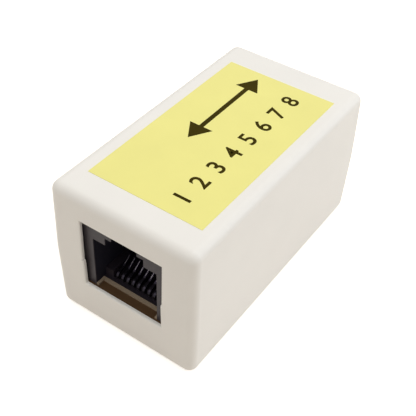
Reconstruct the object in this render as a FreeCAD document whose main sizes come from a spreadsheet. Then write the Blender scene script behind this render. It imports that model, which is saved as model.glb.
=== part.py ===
import FreeCAD, Part
import math
import os
import Sketcher
from FreeCAD import Placement, Rotation, Vector

# An in-line coupler for two 8-way modular plugs, in millimetres.
# The origin is at the middle of the base: +X across, +Y along the plug direction, +Z up.
# A moulded shell in two halves holds a circuit board with one jack at each end.
# Each jack is a housing, a low rim at its mouth, an insert and eight bent contacts.

SIZES = [
    # shell
    ("shell_width", 26.5, "outside width at the parting plane"),
    ("shell_length", 49.1, "outside length at the parting plane"),
    ("lower_height", 12.6, "lower half, base to parting plane"),
    ("upper_height", 12.8, "upper half, parting plane to top"),
    ("lower_draft", 1.2, "mould draft of the lower half, degrees"),
    ("upper_draft", 0.85, "mould draft of the upper half, degrees"),
    ("edge_radius", 1.5, "outside rounding of both halves"),
    ("side_wall", 1.5, "wall at the long sides"),
    ("end_wall", 0.6, "wall at the two port ends"),
    ("roof_wall", 1.5, "wall at the top"),
    ("floor_wall", 1.5, "wall at the base"),
    ("lip_height", 1.0, "alignment lip above the parting plane"),
    ("lip_thickness", 0.45, "alignment lip, inner part of the long walls"),
    ("lip_end_inset", 2.55, "end of the alignment lip from the outside of the port end"),
    ("lip_gap", 0.05, "clearance round the alignment lip"),
    ("opening_upper", 14.9, "port opening width in the upper half"),
    ("opening_lower", 14.5, "port opening width in the lower half"),
    ("opening_margin", 0.08, "jack face hidden above and below the opening"),
    ("opening_radius", 0.3, "outside rounding of the port openings"),
    ("post_radius", 1.5, "corner posts and sockets"),
    ("post_inset", 2.75, "post centre from the outside of the long side"),
    ("post_end_inset", 5.0, "post centre from the outside of the port end"),
    ("pin_radius", 0.75, "locating pin on each lower post"),
    ("pin_length", 3.0, "locating pin above the parting plane"),
    ("pin_gap", 0.05, "clearance of the locating pin in its socket"),
    ("rib_thickness", 1.2, "ribs under the board and over the jacks"),
    ("rib_spread", 5.0, "support rib centre from the middle"),
    ("rib_reach", 10.0, "length of a hold-down rib across the jack"),
    ("rib_root", 0.5, "depth of a rib's or post's root in its wall"),
    ("support_end_inset", 4.55, "end of a support rib from the outside of the port end"),
    ("rib_gap", 0.05, "clearance of the ribs on the board and jacks"),
    # circuit board
    ("board_top", 7.6, "top of the board above the base"),
    ("board_thickness", 1.6, "board"),
    ("board_width", 17.6, "board"),
    ("board_gap", 0.04, "clearance of the board behind the end walls"),
    ("face_gap", 0.34, "least clearance of the jack faces behind the end walls"),
    # jack housing, its heights are above the board
    ("jack_width", 15.6, "housing"),
    ("jack_height", 13.2, "housing"),
    ("jack_length", 15.9, "housing"),
    ("cavity_width", 11.8, "plug cavity"),
    ("cavity_top", 9.9, "ceiling of the plug cavity"),
    ("cavity_depth", 12.0, "plug cavity behind the jack face"),
    ("keyway_width", 7.1, "wide step of the latch keyway"),
    ("keyway_top", 11.3, "ceiling of the wide step"),
    ("notch_width", 4.7, "narrow step of the latch keyway"),
    ("notch_top", 12.5, "ceiling of the narrow step"),
    ("ledge_depth", 1.5, "latch ledge behind the jack face"),
    ("latch_depth", 8.5, "end of the latch pocket behind the jack face"),
    ("tunnel_height", 1.4, "passage of the contacts under the back wall"),
    ("peg_radius", 0.8, "board pegs of the housing"),
    ("peg_place", 7.6, "board pegs behind the jack face"),
    ("peg_tip", 0.5, "board pegs below the board"),
    ("peg_gap", 0.05, "clearance of the pegs in the board"),
    # low U-shaped rim on the board inside the mouth
    ("rim_width", 0.4, "legs along the side walls"),
    ("rim_height", 0.38, "rim above the board"),
    ("rim_gap", 0.05, "clearance of the rim in the housing"),
    ("bar_depth", 1.2, "crossbar of the rim behind the jack face"),
    ("bar_thickness", 0.55, "crossbar of the rim"),
    # contact insert
    ("insert_gap", 0.05, "clearance of the insert in the housing"),
    ("slab_thickness", 0.4, "base slab of the insert"),
    ("slab_end", 14.6, "rear end of the insert behind the jack face"),
    ("shoulder_width", 1.5, "shoulder at each side of the comb"),
    ("shoulder_height", 2.0, "shoulder above the board"),
    ("shoulder_place", 2.3, "front of the shoulders behind the jack face"),
    ("comb_height", 1.35, "comb ribs above the board"),
    ("comb_place", 2.75, "front of the comb ribs behind the jack face"),
    ("comb_end", 7.5, "rear end of the comb ribs behind the jack face"),
    # contacts
    ("contact_pitch", 1.02, "spacing of the contacts"),
    ("contact_width", 0.36, "contact"),
    ("contact_thickness", 0.33, "contact"),
    ("contact_gap", 0.05, "clearance of the contact in the comb and on the slab"),
    ("pin_row", 11.0, "first row of solder tails behind the jack face"),
    ("row_spacing", 2.54, "second row behind the first"),
    ("tail_length", 0.8, "solder tail below the board"),
    ("tail_gap", 0.3, "clearance round the tails in their slots"),
    ("tail_bend", 0.6, "bend above the solder tail"),
    ("nose_bend", 0.6, "bend at the front of the contact"),
    ("nose_place", 2.97, "centre of the front bend behind the jack face"),
    ("lead_angle", 20.0, "slope of the free arm in front of its knee, degrees"),
    ("knee_place", 3.75, "start of the knee behind the jack face"),
    ("knee_bend", 1.0, "bend at the knee"),
    ("rise_angle", 36.0, "slope of the free arm behind its knee, degrees"),
    ("arm_end", 8.0, "tip of the free arm behind the jack face"),
    # label on the roof
    ("label_width", 20.4, "label"),
    ("label_length", 37.4, "label"),
    ("label_thickness", 0.05, "label"),
    ("label_shift_x", 0.23, "label centre from the middle of the roof"),
    ("label_shift_y", -0.43, "label centre from the middle of the roof"),
]

CONTACTS = 8

# Places worked out from the sizes, as expressions of the sheet.
PARTING = "Sizes.lower_height"
SHELL_TOP = "(Sizes.lower_height + Sizes.upper_height)"
JACK_TOP = "(Sizes.board_top + Sizes.jack_height)"
BOARD_BOTTOM = "(Sizes.board_top - Sizes.board_thickness)"
# The end walls lean inwards by the draft, so board and jack faces stand back by the lean.
LOWER_LEAN = "(%s - %s) * tan(Sizes.lower_draft * 1 deg)" % (PARTING, BOARD_BOTTOM)
UPPER_LEAN = "(%s - %s) * tan(Sizes.upper_draft * 1 deg)" % (JACK_TOP, PARTING)
STAND_BACK = "(Sizes.face_gap + max(%s; %s))" % (LOWER_LEAN, UPPER_LEAN)
FACE = "(Sizes.shell_length / 2 - Sizes.end_wall - %s)" % STAND_BACK
BOARD_END = "(Sizes.shell_length / 2 - Sizes.end_wall - Sizes.board_gap - %s)" % LOWER_LEAN
INNER_WIDTH = "(Sizes.shell_width - 2 * Sizes.side_wall)"
INNER_LENGTH = "(Sizes.shell_length - 2 * Sizes.end_wall)"
LIP_END = "(Sizes.shell_length / 2 - Sizes.lip_end_inset)"
SUPPORT_END = "(Sizes.shell_length / 2 - Sizes.support_end_inset)"
POST_X = "(Sizes.shell_width / 2 - Sizes.post_inset)"
POST_Y = "(Sizes.shell_length / 2 - Sizes.post_end_inset)"
RUN_Z = ("(Sizes.board_top + Sizes.slab_thickness + Sizes.contact_gap"
         " + Sizes.contact_thickness / 2)")
PEG_X = "(Sizes.cavity_width + Sizes.jack_width) / 4"


def behind_face(place):
    """The Y of a point of the front jack that lies this far behind its face."""
    return "(%s - %s)" % (place, FACE)


def make_sheet(doc):
    """The driving dimensions: name, value and note in one row each."""
    sheet = doc.addObject("Spreadsheet::Sheet", "Sizes")
    for row, (name, value, note) in enumerate(SIZES, start=1):
        sheet.set("A%d" % row, name)
        sheet.set("B%d" % row, str(value))
        sheet.set("C%d" % row, note)
        sheet.setAlias("B%d" % row, name)
    doc.recompute()
    return sheet


def make_body(doc, label, turn=0):
    """An empty body, turned about Z for the pieces of the rear jack."""
    body = doc.addObject("PartDesign::Body", label)
    body.Label = label
    body.Placement = Placement(Vector(0, 0, 0), Rotation(Vector(0, 0, 1), turn))
    return body


def make_sketch(body, name, role, offset):
    """A sketch on one of the body's own origin planes, moved along its normal."""
    sketch = body.newObject("Sketcher::SketchObject", name)
    plane = [item for item in body.Origin.OriginFeatures if item.Role == role][0]
    sketch.AttachmentSupport = [(plane, "")]
    sketch.MapMode = "FlatFace"
    sketch.setExpression("AttachmentOffset.Base.z", offset)
    return sketch


def level_sketch(body, name, height):
    """A sketch seen from above, at this height."""
    return make_sketch(body, name, "XY_Plane", height)


def upright_sketch(body, name, forward):
    """A sketch seen from the front, this far towards -Y."""
    return make_sketch(body, name, "XZ_Plane", forward)


def bind(sketch, constraint, expression):
    """Add a dimension and tie it to an expression."""
    index = sketch.addConstraint(constraint)
    sketch.setExpression("Constraints[%d]" % index, expression)


def draw_rectangle(sketch, left, right, bottom, top):
    """A rectangle whose four sides are tied to expressions."""
    base = sketch.GeometryCount
    corners = [Vector(-2, -1, 0), Vector(2, -1, 0), Vector(2, 1, 0), Vector(-2, 1, 0)]
    for step in range(4):
        sketch.addGeometry(Part.LineSegment(corners[step], corners[(step + 1) % 4]))
    for step in range(4):
        follower = base + (step + 1) % 4
        sketch.addConstraint(Sketcher.Constraint("Coincident", base + step, 2, follower, 1))
        direction = "Horizontal" if step % 2 == 0 else "Vertical"
        sketch.addConstraint(Sketcher.Constraint(direction, base + step))
    bind(sketch, Sketcher.Constraint("DistanceX", -1, 1, base, 1, -2), left)
    bind(sketch, Sketcher.Constraint("DistanceX", -1, 1, base, 2, 2), right)
    bind(sketch, Sketcher.Constraint("DistanceY", -1, 1, base, 1, -1), bottom)
    bind(sketch, Sketcher.Constraint("DistanceY", -1, 1, base + 2, 1, 1), top)


def draw_centred(sketch, width, length):
    """A rectangle centred on the origin."""
    draw_rectangle(sketch, "-%s / 2" % width, "%s / 2" % width,
                   "-%s / 2" % length, "%s / 2" % length)


def draw_circle(sketch, centre_x, centre_y, radius):
    """A circle whose centre and radius are tied to expressions."""
    index = sketch.addGeometry(Part.Circle(Vector(1, 1, 0), Vector(0, 0, 1), 1))
    bind(sketch, Sketcher.Constraint("DistanceX", -1, 1, index, 3, 1), centre_x)
    bind(sketch, Sketcher.Constraint("DistanceY", -1, 1, index, 3, 1), centre_y)
    bind(sketch, Sketcher.Constraint("Radius", index, 1), radius)


def pad(body, sketch, length, back=False, draft=None):
    """Add material along the sketch's normal, or against it."""
    feature = body.newObject("PartDesign::Pad", "Pad")
    feature.Profile = sketch
    feature.setExpression("Length", length)
    feature.Reversed = back
    if draft:
        feature.setExpression("TaperAngle", draft)
    body.Document.recompute()
    return feature


def pocket(body, sketch, length=None, back=False, draft=None, through=False):
    """Remove material against the sketch's normal, or along it."""
    before = body.Shape.Volume
    feature = body.newObject("PartDesign::Pocket", "Pocket")
    feature.Profile = sketch
    if through:
        feature.Type = "ThroughAll"
        feature.Midplane = True
    else:
        feature.setExpression("Length", length)
        feature.Reversed = back
    if draft:
        feature.setExpression("TaperAngle", draft)
    body.Document.recompute()
    if body.Shape.Volume >= before:
        raise RuntimeError("%s: %s removed nothing" % (body.Label, sketch.Label))
    return feature


def round_edges(body, base, radius, wanted):
    """Round the edges of the last feature that the test picks."""
    names = ["Edge%d" % number for number, edge in enumerate(base.Shape.Edges, start=1)
             if wanted(edge)]
    fillet = body.newObject("PartDesign::Fillet", "Fillet")
    fillet.Base = (base, names)
    fillet.setExpression("Radius", radius)
    body.Document.recompute()
    return fillet


def half_shell(body, parting, height, draft, wall, down):
    """The drafted and rounded cup that both shell halves start from, open at the parting."""
    outline = level_sketch(body, "Outline", PARTING)
    draw_centred(outline, "Sizes.shell_width", "Sizes.shell_length")
    block = pad(body, outline, height, back=down, draft="-%s" % draft)

    def away_from_parting(edge):
        return max(abs(vertex.Z - parting) for vertex in edge.Vertexes) > 0.01

    round_edges(body, block, "Sizes.edge_radius", away_from_parting)
    hollow = level_sketch(body, "Hollow", PARTING)
    draw_centred(hollow, INNER_WIDTH, INNER_LENGTH)
    pocket(body, hollow, "%s - %s" % (height, wall), back=not down, draft="-%s" % draft)


def draw_at_posts(sketch, radius):
    """A circle at each of the four corner posts."""
    for side in ("", "-"):
        for end in ("", "-"):
            draw_circle(sketch, side + POST_X, end + POST_Y, radius)


def add_posts(body, height, wall, down):
    """Four corner posts from the parting plane to the inside of the wall."""
    posts = level_sketch(body, "Posts", PARTING)
    draw_at_posts(posts, "Sizes.post_radius")
    pad(body, posts, "%s - %s + Sizes.rib_root" % (height, wall), back=down)


def cut_ports(body, sizes, width, bottom, top):
    """The port openings in both end walls, cut in one go, with their outer edges rounded."""
    ports = upright_sketch(body, "Ports", "0")
    draw_rectangle(ports, "-%s / 2" % width, "%s / 2" % width, bottom, top)
    cut = pocket(body, ports, through=True)
    reach = ports.evalExpression(width) / 2 + 0.01
    outside = sizes.shell_length / 2 - sizes.end_wall * 0.45

    def around_port(edge):
        return all(abs(vertex.X) < reach and abs(vertex.Y) > outside for vertex in edge.Vertexes)

    round_edges(body, cut, "Sizes.opening_radius", around_port)


def make_upper_shell(doc, sizes):
    """Upper half: roof, ribs that hold the jacks down, and sockets for the pins."""
    body = make_body(doc, "upper_shell")
    half_shell(body, sizes.lower_height, "Sizes.upper_height", "Sizes.upper_draft",
               "Sizes.roof_wall", down=False)
    rebate = level_sketch(body, "Rebate", PARTING)
    draw_centred(rebate, "(%s + 2 * (Sizes.lip_thickness + Sizes.lip_gap))" % INNER_WIDTH,
                 "2 * (%s + Sizes.lip_gap)" % LIP_END)
    pocket(body, rebate, "Sizes.lip_height + Sizes.lip_gap", back=True)
    cut_ports(body, sizes, "Sizes.opening_upper", PARTING + " - 1",
              JACK_TOP + " - Sizes.opening_margin")
    add_posts(body, "Sizes.upper_height", "Sizes.roof_wall", down=False)
    sockets = level_sketch(body, "Sockets", PARTING)
    draw_at_posts(sockets, "Sizes.pin_radius + Sizes.pin_gap")
    pocket(body, sockets, "Sizes.pin_length + 4 * Sizes.pin_gap", back=True)
    ribs = level_sketch(body, "Ribs", JACK_TOP + " + Sizes.rib_gap")
    for end in ("", "-"):
        for share in ("1 / 4", "3 / 4"):
            middle = "%s(%s - Sizes.jack_length * %s)" % (end, FACE, share)
            draw_rectangle(ribs, "-Sizes.rib_reach / 2", "Sizes.rib_reach / 2",
                           "%s - Sizes.rib_thickness / 2" % middle,
                           "%s + Sizes.rib_thickness / 2" % middle)
    pad(body, ribs, "%s - Sizes.roof_wall + Sizes.rib_root - %s - Sizes.rib_gap"
        % (SHELL_TOP, JACK_TOP))
    return body


def make_lower_shell(doc, sizes):
    """Lower half: floor, alignment lip, ribs under the board, posts with pins."""
    body = make_body(doc, "lower_shell")
    half_shell(body, sizes.lower_height, "Sizes.lower_height", "Sizes.lower_draft",
               "Sizes.floor_wall", down=True)
    lip = level_sketch(body, "Lip", PARTING)
    near, far = INNER_WIDTH + " / 2", "(%s / 2 + Sizes.lip_thickness)" % INNER_WIDTH
    for left, right in ((near, far), ("-" + far, "-" + near)):
        draw_rectangle(lip, left, right, "-" + LIP_END, LIP_END)
    pad(body, lip, "Sizes.lip_height")
    reliefs = level_sketch(body, "Reliefs", PARTING)
    draw_at_posts(reliefs, "Sizes.post_radius + Sizes.lip_gap")
    pocket(body, reliefs, "Sizes.lip_height", back=True)
    cut_ports(body, sizes, "Sizes.opening_lower", "Sizes.board_top + Sizes.opening_margin",
              PARTING + " + Sizes.lip_height + 1")
    add_posts(body, "Sizes.lower_height", "Sizes.floor_wall", down=True)
    pins = level_sketch(body, "Pins", PARTING)
    draw_at_posts(pins, "Sizes.pin_radius")
    pad(body, pins, "Sizes.pin_length")
    ribs = level_sketch(body, "Ribs", BOARD_BOTTOM + " - Sizes.rib_gap")
    for side in ("", "-"):
        middle = side + "Sizes.rib_spread"
        draw_rectangle(ribs, "%s - Sizes.rib_thickness / 2" % middle,
                       "%s + Sizes.rib_thickness / 2" % middle,
                       "-" + SUPPORT_END, SUPPORT_END)
    pad(body, ribs, "%s - Sizes.rib_gap - Sizes.floor_wall + Sizes.rib_root" % BOARD_BOTTOM,
        back=True)
    return body


def make_label(doc):
    """The paper label on the roof."""
    body = make_body(doc, "label")
    outline = level_sketch(body, "Outline", SHELL_TOP)
    draw_rectangle(outline, "Sizes.label_shift_x - Sizes.label_width / 2",
                   "Sizes.label_shift_x + Sizes.label_width / 2",
                   "Sizes.label_shift_y - Sizes.label_length / 2",
                   "Sizes.label_shift_y + Sizes.label_length / 2")
    pad(body, outline, "Sizes.label_thickness")
    return body


def contact_x(number):
    """The place of a contact across the jack."""
    return "%s * Sizes.contact_pitch" % (number - (CONTACTS + 1) / 2)


def tail_place(number):
    """How far behind the jack face a contact's solder tail is: the rows alternate."""
    return "(Sizes.pin_row + %d * Sizes.row_spacing)" % ((number + 1) % 2)


def draw_tail_slot(sketch, centre_x, centre_y):
    """A slot with clearance all round a contact's solder tail."""
    across = "(Sizes.contact_width / 2 + Sizes.tail_gap)"
    along = "(Sizes.contact_thickness / 2 + Sizes.tail_gap)"
    draw_rectangle(sketch, "%s - %s" % (centre_x, across), "%s + %s" % (centre_x, across),
                   "%s - %s" % (centre_y, along), "%s + %s" % (centre_y, along))


def make_board(doc):
    """Circuit board with the slots and peg holes of both jacks."""
    body = make_body(doc, "circuit_board")
    outline = level_sketch(body, "Outline", "Sizes.board_top")
    draw_centred(outline, "Sizes.board_width", "(2 * %s)" % BOARD_END)
    pad(body, outline, "Sizes.board_thickness", back=True)
    holes = level_sketch(body, "Holes", "Sizes.board_top")
    for end in ("", "-"):
        for number in range(1, CONTACTS + 1):
            draw_tail_slot(holes, "%s(%s)" % (end, contact_x(number)),
                           end + behind_face(tail_place(number)))
        for side in ("", "-"):
            draw_circle(holes, side + PEG_X, end + behind_face("Sizes.peg_place"),
                        "Sizes.peg_radius + Sizes.peg_gap")
    pocket(body, holes, "Sizes.board_thickness")
    return body


def cut_front(body, name, width, bottom, top, start, depth):
    """A pocket of rectangular section, sunk from a plane behind the jack face."""
    sketch = upright_sketch(body, name, "%s - %s" % (FACE, start))
    draw_rectangle(sketch, "-%s / 2" % width, "%s / 2" % width, bottom, top)
    return pocket(body, sketch, depth)


def make_jack_housing(doc, label, turn):
    """Moulded housing: plug cavity, stepped keyway with its latch ledge, board pegs."""
    body = make_body(doc, label, turn)
    board = "Sizes.board_top"
    section = upright_sketch(body, "Section", FACE)
    draw_rectangle(section, "-Sizes.jack_width / 2", "Sizes.jack_width / 2", board, JACK_TOP)
    pad(body, section, "Sizes.jack_length", back=True)
    cut_front(body, "Cavity", "Sizes.cavity_width", board, board + " + Sizes.cavity_top",
              "0", "Sizes.cavity_depth")
    cut_front(body, "Keyway", "Sizes.keyway_width", board + " + Sizes.cavity_top - 1",
              board + " + Sizes.keyway_top", "0", "Sizes.latch_depth")
    cut_front(body, "Notch", "Sizes.notch_width", board + " + Sizes.keyway_top - 1",
              board + " + Sizes.notch_top", "0", "Sizes.latch_depth")
    cut_front(body, "Latch", "Sizes.keyway_width", board + " + Sizes.keyway_top - 1",
              board + " + Sizes.notch_top", "Sizes.ledge_depth",
              "Sizes.latch_depth - Sizes.ledge_depth")
    cut_front(body, "Tunnel", "Sizes.cavity_width", board, board + " + Sizes.tunnel_height",
              "0", "Sizes.jack_length")
    pegs = level_sketch(body, "Pegs", board)
    for side in ("", "-"):
        draw_circle(pegs, side + PEG_X, behind_face("Sizes.peg_place"), "Sizes.peg_radius")
    pad(body, pegs, "Sizes.board_thickness + Sizes.peg_tip", back=True)
    return body


def make_port_rim(doc, label, turn):
    """Low rim on the board: a leg along each side wall and a bar across behind them."""
    body = make_body(doc, label, turn)
    outer = "(Sizes.cavity_width / 2 - Sizes.rim_gap)"
    inner = "(%s - Sizes.rim_width)" % outer
    outline = level_sketch(body, "Outline", "Sizes.board_top")
    draw_rectangle(outline, "-" + outer, outer, "-" + FACE,
                   behind_face("(Sizes.bar_depth + Sizes.bar_thickness)"))
    pad(body, outline, "Sizes.rim_height")
    window = level_sketch(body, "Window", "Sizes.board_top")
    draw_rectangle(window, "-" + inner, inner, "-" + FACE + " - 1",
                   behind_face("Sizes.bar_depth"))
    pocket(body, window, "Sizes.rim_height", back=True)
    return body


def make_contact_insert(doc, label, turn):
    """Insert at the bottom of the cavity: slab, comb between the contacts, two shoulders."""
    body = make_body(doc, label, turn)
    side = "(Sizes.cavity_width / 2 - Sizes.insert_gap)"
    front = behind_face("(Sizes.bar_depth + Sizes.bar_thickness + Sizes.insert_gap)")
    slab = level_sketch(body, "Slab", "Sizes.board_top")
    draw_rectangle(slab, "-" + side, side, front, behind_face("Sizes.slab_end"))
    pad(body, slab, "Sizes.slab_thickness")
    shoulders = level_sketch(body, "Shoulders", "Sizes.board_top")
    inner = "(%s - Sizes.shoulder_width)" % side
    ends = (behind_face("Sizes.shoulder_place"),
            behind_face("(Sizes.cavity_depth - Sizes.insert_gap)"))
    draw_rectangle(shoulders, "-" + side, "-" + inner, ends[0], ends[1])
    draw_rectangle(shoulders, inner, side, ends[0], ends[1])
    pad(body, shoulders, "Sizes.shoulder_height")
    comb = level_sketch(body, "Comb", "Sizes.board_top")
    half_rib = "(Sizes.contact_pitch - Sizes.contact_width) / 2 - Sizes.contact_gap"
    for number in range(1, CONTACTS):
        middle = "(%s + Sizes.contact_pitch / 2)" % contact_x(number)
        draw_rectangle(comb, "%s - (%s)" % (middle, half_rib), "%s + %s" % (middle, half_rib),
                       behind_face("Sizes.comb_place"), behind_face("Sizes.comb_end"))
    pad(body, comb, "Sizes.comb_height")
    slots = level_sketch(body, "Slots", "Sizes.board_top")
    for number in range(1, CONTACTS + 1):
        draw_tail_slot(slots, contact_x(number), behind_face(tail_place(number)))
    pocket(body, slots, "Sizes.slab_thickness", back=True)
    return body


def draw_contact_path(sketch, number):
    """Tail up through the board, bend forward, front bend, then the free arm with its knee."""
    tail_y, tail_z = behind_face(tail_place(number)), BOARD_BOTTOM + " - Sizes.tail_length"
    nose_y, knee_y = behind_face("Sizes.nose_place"), behind_face("Sizes.knee_place")
    tip_y = behind_face("Sizes.arm_end")
    # Drawn close to its final shape first, so that the solver finds the intended bends.
    value = sketch.evalExpression
    tail, foot, run = value(tail_y), value(tail_z), value(RUN_Z)
    nose, knee, tip = value(nose_y), value(knee_y), value(tip_y)
    bend, curl, ease = (value("Sizes." + name) for name in ("tail_bend", "nose_bend", "knee_bend"))
    lead, rise = (math.radians(value("Sizes." + name)) for name in ("lead_angle", "rise_angle"))
    line, circle, arc = Part.LineSegment, Part.Circle, Part.ArcOfCircle
    up, quarter = Vector(0, 0, 1), math.pi / 2
    over = Vector(nose - curl * math.sin(lead), run + curl * (1 + math.cos(lead)), 0)
    start = over + Vector(knee - over.x, (knee - over.x) * math.tan(lead), 0)
    middle = start + Vector(-ease * math.sin(lead), ease * math.cos(lead), 0)
    end = middle + Vector(ease * math.sin(rise), -ease * math.cos(rise), 0)
    sketch.addGeometry(line(Vector(tail, foot, 0), Vector(tail, run - bend, 0)))
    sketch.addGeometry(arc(circle(Vector(tail - bend, run - bend, 0), up, bend), 0, quarter))
    sketch.addGeometry(line(Vector(tail - bend, run, 0), Vector(nose, run, 0)))
    sketch.addGeometry(arc(circle(Vector(nose, run + curl, 0), up, curl), quarter + lead,
                           3 * quarter))
    sketch.addGeometry(line(over, start))
    sketch.addGeometry(arc(circle(middle, up, ease), lead - quarter, rise - quarter))
    sketch.addGeometry(line(end, end + Vector(tip - end.x, (tip - end.x) * math.tan(rise), 0)))
    tie = Sketcher.Constraint
    for first, first_end, second, second_end in ((0, 2, 1, 1), (1, 2, 2, 1), (2, 2, 3, 2),
                                                 (3, 1, 4, 1), (4, 2, 5, 1), (5, 2, 6, 1)):
        sketch.addConstraint(tie("Tangent", first, first_end, second, second_end))
    sketch.addConstraint(tie("Vertical", 0))
    sketch.addConstraint(tie("Horizontal", 2))
    bind(sketch, tie("DistanceX", -1, 1, 0, 1, tail), tail_y)
    bind(sketch, tie("DistanceY", -1, 1, 0, 1, foot), tail_z)
    bind(sketch, tie("DistanceY", -1, 1, 2, 1, run), RUN_Z)
    bind(sketch, tie("Radius", 1, bend), "Sizes.tail_bend")
    bind(sketch, tie("Radius", 3, curl), "Sizes.nose_bend")
    bind(sketch, tie("Radius", 5, ease), "Sizes.knee_bend")
    bind(sketch, tie("DistanceX", -1, 1, 3, 3, nose), nose_y)
    bind(sketch, tie("DistanceX", -1, 1, 4, 2, knee), knee_y)
    bind(sketch, tie("DistanceX", -1, 1, 6, 2, tip), tip_y)
    bind(sketch, tie("Angle", 4, lead), "Sizes.lead_angle * 1 deg")
    bind(sketch, tie("Angle", 6, rise), "Sizes.rise_angle * 1 deg")


def make_contact(doc, label, number, turn):
    """One bent contact of flat section."""
    body = make_body(doc, label, turn)
    path = make_sketch(body, "Path", "YZ_Plane", contact_x(number))
    draw_contact_path(path, number)
    section = level_sketch(body, "Section", BOARD_BOTTOM + " - Sizes.tail_length")
    across, along = contact_x(number), behind_face(tail_place(number))
    draw_rectangle(section, across + " - Sizes.contact_width / 2",
                   across + " + Sizes.contact_width / 2",
                   along + " - Sizes.contact_thickness / 2",
                   along + " + Sizes.contact_thickness / 2")
    doc.recompute()
    strip = body.newObject("PartDesign::AdditivePipe", "Strip")
    strip.Profile = section
    strip.Spine = path
    doc.recompute()
    return body


def check(doc, bodies):
    """Stop before writing if any object failed or any piece is not a valid solid."""
    for item in doc.Objects:
        if "Invalid" in item.State or "Error" in item.State:
            raise RuntimeError("%s of %s failed" % (item.Label, item.Name))
    for body in bodies:
        shape = body.Shape
        if shape.isNull() or not shape.isValid() or len(shape.Solids) != 1:
            raise RuntimeError("%s is not one valid solid" % body.Label)


def main():
    doc = FreeCAD.newDocument("Coupler")
    sizes = make_sheet(doc)
    bodies = [make_upper_shell(doc, sizes), make_lower_shell(doc, sizes), make_label(doc),
              make_board(doc)]
    for end, turn in (("front", 0), ("rear", 180)):
        bodies.append(make_jack_housing(doc, "jack_housing_" + end, turn))
        bodies.append(make_port_rim(doc, "port_rim_" + end, turn))
        bodies.append(make_contact_insert(doc, "contact_insert_" + end, turn))
        for number in range(1, CONTACTS + 1):
            bodies.append(make_contact(doc, "contact_%s_%d" % (end, number), number, turn))
    doc.recompute()
    check(doc, bodies)
    os.makedirs("parts", exist_ok=True)
    for body in bodies:
        body.Shape.exportStep("parts/%s.step" % body.Label)
        print("%s: volume %.2f" % (body.Label, body.Shape.Volume))


main()
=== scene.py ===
import math

import bpy
from mathutils import Matrix, Vector


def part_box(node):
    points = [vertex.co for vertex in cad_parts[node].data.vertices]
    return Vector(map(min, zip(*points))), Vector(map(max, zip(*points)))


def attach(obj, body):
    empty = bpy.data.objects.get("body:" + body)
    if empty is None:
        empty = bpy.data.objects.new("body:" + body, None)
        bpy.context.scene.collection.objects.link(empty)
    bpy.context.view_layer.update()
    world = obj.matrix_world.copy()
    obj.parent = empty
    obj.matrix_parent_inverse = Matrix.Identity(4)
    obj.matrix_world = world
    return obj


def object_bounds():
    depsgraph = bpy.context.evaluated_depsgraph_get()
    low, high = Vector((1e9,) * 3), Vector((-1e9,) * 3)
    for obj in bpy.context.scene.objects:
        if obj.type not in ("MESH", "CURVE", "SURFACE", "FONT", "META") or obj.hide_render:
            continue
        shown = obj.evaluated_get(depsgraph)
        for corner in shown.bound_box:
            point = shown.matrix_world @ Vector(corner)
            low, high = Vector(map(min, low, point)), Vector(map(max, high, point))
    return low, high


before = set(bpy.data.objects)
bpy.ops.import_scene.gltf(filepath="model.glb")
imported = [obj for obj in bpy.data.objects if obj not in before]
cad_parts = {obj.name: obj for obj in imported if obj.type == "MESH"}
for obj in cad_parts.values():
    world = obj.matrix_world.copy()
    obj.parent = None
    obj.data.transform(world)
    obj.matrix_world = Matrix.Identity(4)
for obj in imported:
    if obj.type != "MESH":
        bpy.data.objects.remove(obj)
cad_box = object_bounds()

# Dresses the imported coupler: a finish for each CAD node, the print on its label and a plain
# studio around it. Lengths are in metres, colours are linear RGB and alpha.
MM = 0.001

WHITE = (1, 1, 1, 1)
IVORY = (0.86, 0.83, 0.785, 1)
YELLOW = (0.86, 0.80, 0.265, 1)
BOARD_BROWN = (0.085, 0.044, 0.018, 1)
LAMINATE_TAN = (0.33, 0.255, 0.18, 1)
INSERT_BLACK = (0.021, 0.0165, 0.022, 1)
# Painted shade for the inside of the jack housing, and painted light for its face.
SHADED_INSIDE_BLACK = (0.0055, 0.0046, 0.010, 1)
LIT_FACE_BLACK = (0.051, 0.043, 0.048, 1)
# Wire colours are painted light: dark as shade, a paler glint at the noses and a bright
# highlight along the arms.
WIRE_PAINTED_SHADE = (0.007, 0.005, 0.010, 1)
WIRE_NOSE_PAINTED_GLINT = (0.025, 0.022, 0.029, 1)
WIRE_PAINTED_HIGHLIGHT = (0.40, 0.365, 0.385, 1)
INK_BROWN = (0.043, 0.031, 0.0015, 1)
FLOOR_CREAM = (0.81, 0.745, 0.665, 1)

# Noise features per metre: drift of tone, moulded grain, paper grain, drift along a wire.
TONE, GRAIN, PAPER, DRAWN = 120, 2500, 6000, 900
# The values between which most of a noise texture lies.
NOISE_SPAN = (0.3, 0.7)
# Heights of fine relief: spark-eroded plastic, paper, and smooth plastic or ink.
ERODED, PAPERY, SMOOTH = 0.004 * MM, 0.001 * MM, 0.0005 * MM

CONTACT_PITCH = 1.02 * MM
# The ends and half width of the painted highlight along each wire's arm, the ends measured from
# the jack's face.
HIGHLIGHT_NEAR, HIGHLIGHT_FAR, HIGHLIGHT_HALF_WIDTH = 4.1 * MM, 5.3 * MM, 0.06 * MM
# How far behind the jack's face the painted light on its face starts to fade, and where it ends;
# deeper in, the housing is painted dark as shade.
LIT_FACE_FULL, LIT_FACE_NONE = 0.02 * MM, 0.25 * MM
EDGE_ROUNDING = 0.16 * MM

PRINT_HEIGHT = 0.004 * MM
ARROW_X, ARROW_Y = -3.25 * MM, 6.3 * MM
NUMERALS_X, NUMERALS_Y, NUMERAL_STEP = 5.8 * MM, -0.65 * MM, 4.25 * MM
NUMERAL_SIZE, NUMERAL_WEIGHT = 4.2 * MM, 0.07 * MM
CONTACTS = 8


def new_material(name):
    """A new material: (material, its node tree, its shader)."""
    made = bpy.data.materials.new(name)
    made.use_nodes = True
    return made, made.node_tree, made.node_tree.nodes["Principled BSDF"]


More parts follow.
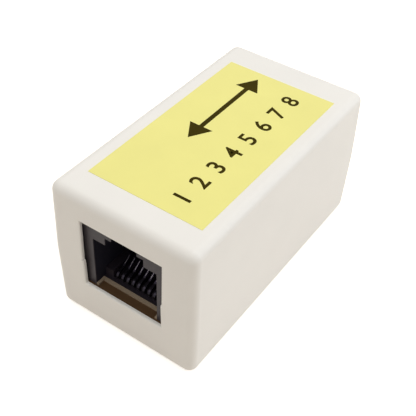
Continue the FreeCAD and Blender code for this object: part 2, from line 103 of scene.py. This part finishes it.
def noise(tree, scale, detail):
    """Noise in object space, its scale in features per metre."""
    place = tree.nodes.new("ShaderNodeTexCoord")
    texture = tree.nodes.new("ShaderNodeTexNoise")
    texture.inputs["Scale"].default_value = scale
    texture.inputs["Detail"].default_value = detail
    tree.links.new(place.outputs["Object"], texture.inputs["Vector"])
    return texture.outputs["Fac"]


def calculate(tree, operation, first, second=0):
    """One step of arithmetic between two numbers or sockets."""
    step = tree.nodes.new("ShaderNodeMath")
    step.operation = operation
    for socket, value in zip(step.inputs, (first, second)):
        if isinstance(value, (int, float)):
            socket.default_value = value
        else:
            tree.links.new(value, socket)
    return step.outputs["Value"]


def rescale(tree, value, span, result=(0.0, 1.0)):
    """Maps a span of the value to the result's span, and holds it at both ends."""
    step = tree.nodes.new("ShaderNodeMapRange")
    for name, limit in zip(("From Min", "From Max", "To Min", "To Max"), span + result):
        step.inputs[name].default_value = limit
    tree.links.new(value, step.inputs["Value"])
    return step.outputs["Result"]


def gradient(tree, value, places, colours):
    """The colour at this value of a ramp, its places in rising order."""
    ramp = tree.nodes.new("ShaderNodeValToRGB")
    for place in places[1:-1]:
        ramp.color_ramp.elements.new(place)
    for element, place, colour in zip(ramp.color_ramp.elements, places, colours):
        element.position = place
        element.color = colour
    tree.links.new(value, ramp.inputs["Fac"])
    return ramp.outputs["Color"]


def add_relief(tree, shader, value, height):
    """Fine relief of this height."""
    relief = tree.nodes.new("ShaderNodeBump")
    relief.inputs["Distance"].default_value = height
    relief.inputs["Strength"].default_value = 1.0
    tree.links.new(value, relief.inputs["Height"])
    tree.links.new(relief.outputs["Normal"], shader.inputs["Normal"])


def shade(colour, factor):
    """The same colour, lighter or darker."""
    return tuple(channel * factor for channel in colour[:3]) + (1,)


def along_and_across(tree):
    """Distance from the middle along the plug direction, and the place across it."""
    place = tree.nodes.new("ShaderNodeTexCoord")
    split = tree.nodes.new("ShaderNodeSeparateXYZ")
    tree.links.new(place.outputs["Object"], split.inputs["Vector"])
    return calculate(tree, "ABSOLUTE", split.outputs["Y"]), split.outputs["X"]


def moulded(name, colour, rough, relief, grain=GRAIN, variation=0.03, gloss=0.3):
    """A plain finish: a slight drift of tone, uneven gloss and fine grain."""
    made, tree, shader = new_material(name)
    shader.inputs["Specular IOR Level"].default_value = gloss
    tones = (shade(colour, 1 - variation), shade(colour, 1 + variation))
    tree.links.new(gradient(tree, noise(tree, TONE, 3), NOISE_SPAN, tones),
                   shader.inputs["Base Color"])
    fine = noise(tree, grain, 3)
    tree.links.new(rescale(tree, fine, NOISE_SPAN, (rough - 0.06, rough + 0.06)),
                   shader.inputs["Roughness"])
    add_relief(tree, shader, fine, relief)
    return made


def jack_plastic(face):
    """Black housing: dark and dull inside, where the dark is painted shade, and a little paler
    on its face, which is painted light.
    """
    made, tree, shader = new_material("black_plastic")
    along, _ = along_and_across(tree)
    # Painted light: the face's outer skin is paler, and the housing deeper in is painted dark as
    # shade.
    painted_face_light = rescale(tree, along, (face - LIT_FACE_NONE, face - LIT_FACE_FULL))
    fine = noise(tree, GRAIN, 3)
    painted_light_and_grain = calculate(tree, "ADD", calculate(tree, "MULTIPLY", painted_face_light, 0.36),
                     calculate(tree, "MULTIPLY", fine, 0.2))
    tree.links.new(gradient(tree, calculate(tree, "ADD", painted_light_and_grain, 0.2), NOISE_SPAN,
                            (SHADED_INSIDE_BLACK, LIT_FACE_BLACK)),
                   shader.inputs["Base Color"])
    shader.inputs["Specular IOR Level"].default_value = 0.2
    tree.links.new(calculate(tree, "ADD", calculate(tree, "MULTIPLY", painted_face_light, -0.36),
                             rescale(tree, fine, NOISE_SPAN, (0.68, 0.76))),
                   shader.inputs["Roughness"])
    add_relief(tree, shader, fine, SMOOTH)
    return made


def plated_wire(near, far):
    """Metal painted dark as shade, with a painted glint a little paler at the noses and a bright
    painted highlight along each arm.

    The highlight runs between two places along the plug direction, far being the deeper one.
    """
    made, tree, shader = new_material("plated_wire")
    along, across = along_and_across(tree)
    share = calculate(tree, "FRACT", calculate(tree, "DIVIDE", across, CONTACT_PITCH))
    offset = calculate(tree, "MULTIPLY", calculate(
        tree, "ABSOLUTE", calculate(tree, "SUBTRACT", share, 0.5)), CONTACT_PITCH)
    beside = rescale(tree, offset, (0.0, HIGHLIGHT_HALF_WIDTH))
    before = rescale(tree, along, (near - 0.05 * MM, near + 0.1 * MM))
    within = rescale(tree, along, (far - 0.2 * MM, far))
    # Painted highlight: a bright, narrow strip along the top of each arm between near and far.
    painted_highlight = calculate(tree, "MULTIPLY", within, calculate(
        tree, "MULTIPLY", calculate(tree, "SUBTRACT", 1, beside),
        calculate(tree, "SUBTRACT", 1, before)))
    # Painted glint: the noses are a little paler than the painted shade of the rest of the wire.
    glint_level = 0.4
    nose_glint = calculate(tree, "MULTIPLY", rescale(tree, along, (near, near + 0.3 * MM)), glint_level)
    # The metal's base colour is painted shade: dark everywhere but at the painted glint and
    # highlight.
    tree.links.new(gradient(tree, calculate(tree, "MAXIMUM", painted_highlight, nose_glint),
                            (0.0, glint_level, 1.0), (WIRE_PAINTED_SHADE, WIRE_NOSE_PAINTED_GLINT, WIRE_PAINTED_HIGHLIGHT)),
                   shader.inputs["Base Color"])
    shader.inputs["Metallic"].default_value = 1.0
    duller = calculate(tree, "ADD", calculate(tree, "MULTIPLY", painted_highlight, 0.04), 0.26)
    drift = calculate(tree, "MULTIPLY", noise(tree, DRAWN, 2), 0.12)
    tree.links.new(calculate(tree, "ADD", duller, drift), shader.inputs["Roughness"])
    return made


def paint(names, finish):
    """Gives CAD nodes this finish."""
    for name in names:
        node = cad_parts[name]
        node.data.materials.clear()
        node.data.materials.append(finish)


def soften(name, segments):
    """Rounds the sharp edges of a CAD node for the render."""
    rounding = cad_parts[name].modifiers.new("rounding", "BEVEL")
    rounding.width = EDGE_ROUNDING
    rounding.segments = segments
    rounding.limit_method = "ANGLE"
    rounding.angle_limit = math.radians(50)


JACK_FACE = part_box("jack_housing_rear")[1][1]
INSERTS = ["contact_insert_front", "contact_insert_rear"]
WIRES = [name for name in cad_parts
         if name.startswith("contact_") and name not in INSERTS]

paint(["upper_shell", "lower_shell"],
      moulded("ivory_plastic", IVORY, 0.42, ERODED, variation=0.012))
paint(["label"], moulded("yellow_label", YELLOW, 0.5, PAPERY, PAPER, 0.02))
paint(["circuit_board"], moulded("brown_board", BOARD_BROWN, 0.5, ERODED))
paint(["jack_housing_front", "jack_housing_rear"], jack_plastic(JACK_FACE))
paint(["port_rim_front", "port_rim_rear"], moulded("tan_laminate", LAMINATE_TAN, 0.5, ERODED))
paint(INSERTS, moulded("black_insert", INSERT_BLACK, 0.34, SMOOTH, gloss=0.4))
paint(WIRES, plated_wire(JACK_FACE - HIGHLIGHT_NEAR, JACK_FACE - HIGHLIGHT_FAR))

for name in WIRES:
    soften(name, 4)
for name in INSERTS:
    soften(name, 3)


INK = moulded("brown_ink", INK_BROWN, 0.6, SMOOTH, PAPER, 0.15, gloss=0.03)


def printed(piece):
    """A piece of print: takes the ink's finish and moves with the coupler."""
    piece.data.materials.clear()
    piece.data.materials.append(INK)
    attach(piece, "root")


def add_arrow(top):
    """A double-headed arrow along the plug direction, beside the row of numbers."""
    half_length, head_length = 10.1 * MM, 3.6 * MM
    head_half_width, shaft_half_width = 2.15 * MM, 0.42 * MM
    neck = half_length - head_length
    side = [(half_length, 0), (neck, head_half_width), (neck, shaft_half_width)]
    corners = [(along, -across) for along, across in side]
    corners += [(-along, -across) for along, across in reversed(side)]
    corners += [(-along, across) for along, across in side[1:]]
    corners += [(along, across) for along, across in reversed(side[1:])]
    outline = [Vector((ARROW_X - across, ARROW_Y + along, top)) for along, across in corners]
    mesh = bpy.data.meshes.new("label_arrow")
    mesh.from_pydata(outline, [], [list(range(len(outline)))])
    arrow = bpy.data.objects.new("label_arrow", mesh)
    bpy.context.scene.collection.objects.link(arrow)
    printed(arrow)


def add_numerals(top):
    """The numbers of the contacts in a row, each turned to read from the label's long side."""
    for number in range(1, CONTACTS + 1):
        name = "label_numeral_%d" % number
        text = bpy.data.curves.new(name, "FONT")
        text.body = str(number)
        text.size = NUMERAL_SIZE
        text.align_x = "CENTER"
        text.resolution_u = 4
        text.offset = NUMERAL_WEIGHT
        draft = bpy.data.objects.new("draft", text)
        bpy.context.scene.collection.objects.link(draft)
        bpy.context.view_layer.update()
        mesh = bpy.data.meshes.new_from_object(
            draft.evaluated_get(bpy.context.evaluated_depsgraph_get()))
        bpy.data.objects.remove(draft)
        numeral = bpy.data.objects.new(name, mesh)
        place = NUMERALS_Y + (number - (CONTACTS + 1) / 2) * NUMERAL_STEP
        mesh.transform(Matrix.Translation((NUMERALS_X, place, top))
                       @ Matrix.Rotation(math.radians(90), 4, "Z"))
        bpy.context.scene.collection.objects.link(numeral)
        printed(numeral)


print_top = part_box("label")[1][2] + PRINT_HEIGHT
add_arrow(print_top)
add_numerals(print_top)


def add_camera():
    """The camera of the main view: a slightly rolled three-quarter view from above."""
    azimuth, elevation, roll = (math.radians(angle) for angle in (32.644, 41.66, 3.129))
    distance, aim_height = 131.4 * MM, 12.7 * MM
    back = Vector((math.sin(azimuth) * math.cos(elevation),
                   -math.cos(azimuth) * math.cos(elevation), math.sin(elevation)))
    level_right = Vector((math.cos(azimuth), math.sin(azimuth), 0))
    level_up = back.cross(level_right)
    right = math.cos(roll) * level_right + math.sin(roll) * level_up
    up = math.cos(roll) * level_up - math.sin(roll) * level_right
    low, high = cad_box
    aim = Vector([(low[axis] + high[axis]) / 2 for axis in range(2)] + [aim_height])
    camera = bpy.data.objects.new("camera", bpy.data.cameras.new("camera"))
    camera.matrix_world = Matrix((
        (right.x, up.x, back.x, 0), (right.y, up.y, back.y, 0), (right.z, up.z, back.z, 0),
        (0, 0, 0, 1)))
    camera.location = aim + back * distance
    camera.data.lens = 68.5
    camera.data.sensor_width = 36
    camera.data.shift_x = -0.0186
    camera.data.shift_y = -0.0326
    camera.data.clip_start = 5 * MM
    bpy.context.scene.collection.objects.link(camera)
    bpy.context.scene.camera = camera


def add_lamp(name, place, target, size, power, colour):
    """A round soft lamp that faces its target."""
    lamp = bpy.data.lights.new(name, "AREA")
    lamp.shape = "DISK"
    lamp.size = size
    lamp.energy = power
    lamp.color = colour
    item = bpy.data.objects.new(name, lamp)
    item.location = place
    item.rotation_euler = (Vector(target) - Vector(place)).to_track_quat("-Z", "Y").to_euler()
    bpy.context.scene.collection.objects.link(item)


def background_rays(tree):
    """1 for the rays that see the background: straight, in a gloss or through glass."""
    paths = tree.nodes.new("ShaderNodeLightPath")
    seen = paths.outputs["Is Camera Ray"]
    for kind in ("Is Glossy Ray", "Is Transmission Ray"):
        seen = calculate(tree, "MAXIMUM", seen, paths.outputs[kind])
    return seen


def add_world(strength):
    """Surroundings that look white and light the object at this strength."""
    world = bpy.data.worlds.new("studio")
    world.use_nodes = True
    bpy.context.scene.world = world
    tree = world.node_tree
    background = tree.nodes["Background"]
    background.inputs["Color"].default_value = WHITE
    tree.links.new(rescale(tree, background_rays(tree), (0.0, 1.0), (strength, 1.0)),
                   background.inputs["Strength"])


def add_floor(glow):
    """A pale floor that keeps the object's shadow, its glow whitening it for the camera."""
    side, gap = 2.0, 0.02 * MM
    bpy.ops.mesh.primitive_plane_add(size=side, location=(0, 0, -gap))
    floor = bpy.context.object
    floor.name = "floor"
    made, tree, shader = new_material("floor_white")
    shader.inputs["Base Color"].default_value = FLOOR_CREAM
    shader.inputs["Roughness"].default_value = 0.9
    shader.inputs["Specular IOR Level"].default_value = 0.0
    shader.inputs["Emission Color"].default_value = WHITE
    tree.links.new(calculate(tree, "MULTIPLY", background_rays(tree), glow),
                   shader.inputs["Emission Strength"])
    floor.data.materials.append(made)


bpy.context.scene.view_settings.view_transform = "Standard"
add_camera()
add_world(strength=0.155)
add_lamp("overhead", (0, 0, 0.6), (0, 0, 0), size=2.0, power=10.1, colour=(1.0, 0.99, 0.96))
add_lamp("side", (0.4, 0.37, 0.18), (0, 0, 0.012), size=0.3, power=0.88,
         colour=(0.81, 0.90, 1.0))
add_floor(glow=0.62)
